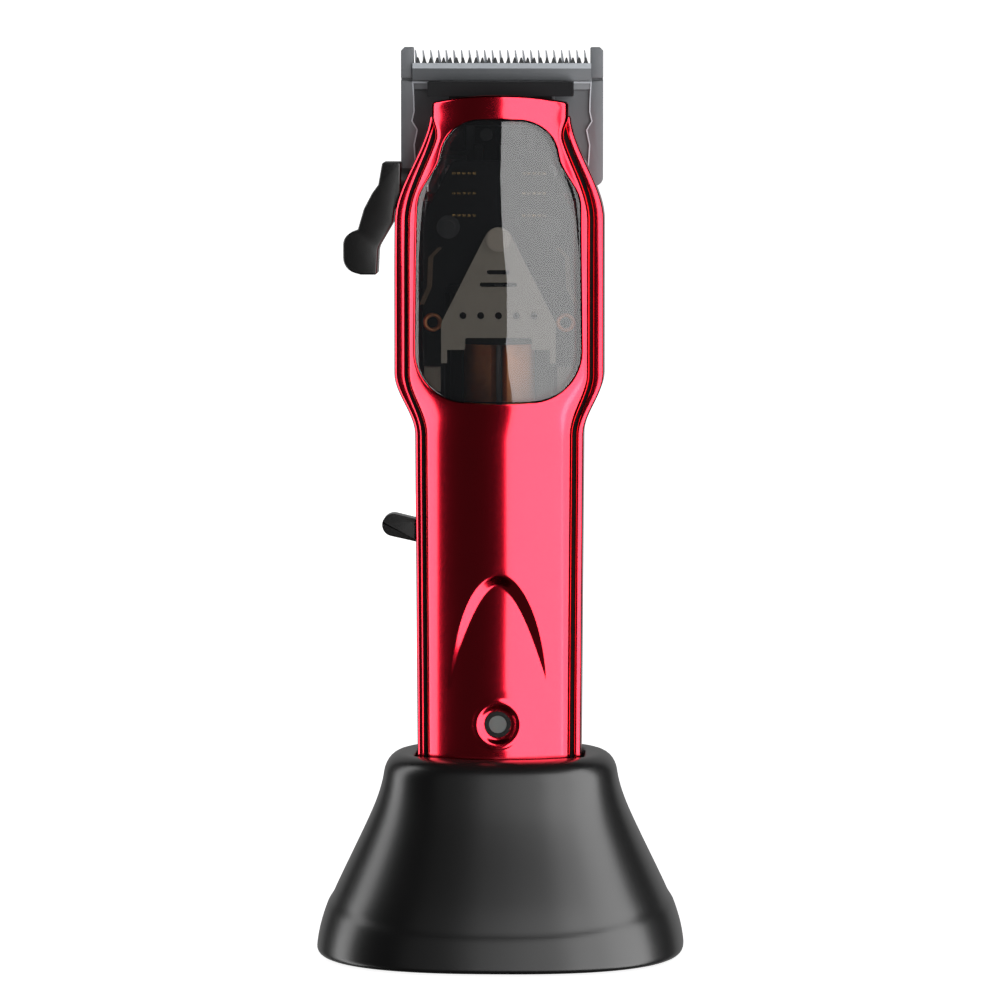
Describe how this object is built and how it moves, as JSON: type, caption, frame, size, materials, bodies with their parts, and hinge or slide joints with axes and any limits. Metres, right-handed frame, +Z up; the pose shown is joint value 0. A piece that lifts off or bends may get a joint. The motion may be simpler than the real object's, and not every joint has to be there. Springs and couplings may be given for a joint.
{
  "type": "hair clipper",
  "caption": "Cordless hair clipper with a metal body, a smoked window, a taper lever and a power toggle, standing upright in a flared charging stand.",
  "frame": {"origin": "on the floor, under the middle of the stand", "axes": "+Z up along the clipper, -Y towards the window, +X to the right seen from the window side"},
  "size_m": [0.0836, 0.0818, 0.2062],
  "materials": {
    "black_plastic": "satin moulded",
    "weight_iron": "plain plate",
    "rubber": "matt",
    "screw_steel": "plated steel",
    "circuit_board": "solder mask",
    "nickel": "strip",
    "gold_contacts": "plated",
    "spring_steel": "wire",
    "red_metal": "fine-grained metallic satin coat",
    "smoked_lens": "clear smoked, polished",
    "lever_black": "semi-gloss moulded",
    "indicator_grey": "translucent, unlit",
    "copper": "lacquered wire",
    "beige_block": "moulded",
    "badge_steel": "warm brushed plate",
    "chip_black": "moulded",
    "blade_steel": "ground steel",
    "cell_wrap": "shrink wrap"
  },
  "bodies": {
    "stand": {"stand_shell": "black_plastic", "dock_cup": "black_plastic", "stand_base_plate": "black_plastic", "stand_weight": "weight_iron", "stand_feet": "rubber", "stand_screws": "screw_steel", "stand_board": "circuit_board", "usb_c_port": "nickel", "contact_sleeves": "gold_contacts", "contact_springs": "spring_steel"},
    "charging_pins": {"charging_pins": "gold_contacts"},
    "clipper": {"rear_shell": "red_metal", "front_cover": "red_metal", "window_lens": "smoked_lens", "seam_strips": "black_plastic", "bottom_cap": "black_plastic", "charging_contacts": "gold_contacts", "housing_screws": "screw_steel", "indicator_bezel": "lever_black", "indicator_lens": "indicator_grey", "inner_chassis": "black_plastic", "header_pins": "gold_contacts", "chassis_screws": "screw_steel", "coil_rings": "copper", "contact_arms": "gold_contacts", "side_blocks": "beige_block", "badge_plate": "badge_steel", "badge_bolt": "badge_steel", "motor_can": "chip_black", "motor_windings": "copper", "motor_bearings": "blade_steel", "motor_mount": "black_plastic", "battery_cell": "cell_wrap", "battery_tabs": "nickel", "battery_cradle": "black_plastic", "main_board": "circuit_board", "board_components": "chip_black", "head_block": "black_plastic", "switch_module": "chip_black", "toggle_pin": "screw_steel"},
    "rotor": {"motor_shaft": "blade_steel", "rotor_core": "screw_steel", "crank_cam": "black_plastic"},
    "cutter": {"cutter_blade": "blade_steel", "drive_yoke": "black_plastic", "yoke_screws": "screw_steel"},
    "comb": {"comb_blade": "blade_steel", "blade_carrier": "black_plastic", "blade_screws": "screw_steel"},
    "taper_lever": {"taper_lever": "lever_black", "lever_shaft": "blade_steel", "lever_screw": "screw_steel"},
    "power_toggle": {"power_toggle": "lever_black"}
  },
  "joints": [
    {"name": "clipper_lift", "type": "slide", "parent": "stand", "child": "clipper", "axis": [0, 0, 1], "range_m": [0, 0.05]},
    {"name": "charging_pins_press", "type": "slide", "parent": "stand", "child": "charging_pins", "axis": [0, 0, 1], "range_m": [-0.0008, 0], "stiffness_N_per_m": 150, "springref_m": 0.001, "deforming": ["contact_springs"]},
    {"name": "rotor_spin", "type": "hinge", "parent": "clipper", "child": "rotor", "pos_m": [0, 0.0005, 0.15], "axis": [0, 0, 1], "continuous": true},
    {"name": "cutter_stroke", "type": "slide", "parent": "clipper", "child": "cutter", "axis": [1, 0, 0], "range_m": [-0.0012, 0.0012]},
    {"name": "taper_lever_turn", "type": "hinge", "parent": "clipper", "child": "taper_lever", "pos_m": [-0.022, 0, 0.176], "axis": [-1, 0, 0], "range_deg": [0, 50]},
    {"name": "comb_slide", "type": "slide", "parent": "clipper", "child": "comb", "axis": [0, 0, 1], "range_m": [-0.0013, 0]},
    {"name": "power_toggle_tilt", "type": "hinge", "parent": "clipper", "child": "power_toggle", "pos_m": [-0.0155, -0.0026, 0.0961], "axis": [0, 1, 0], "range_deg": [-26, 0]}
  ],
  "couplings": [
    {"joint": "taper_lever_turn", "follows": "comb_slide", "rad_per_m": -671.28}
  ]
}
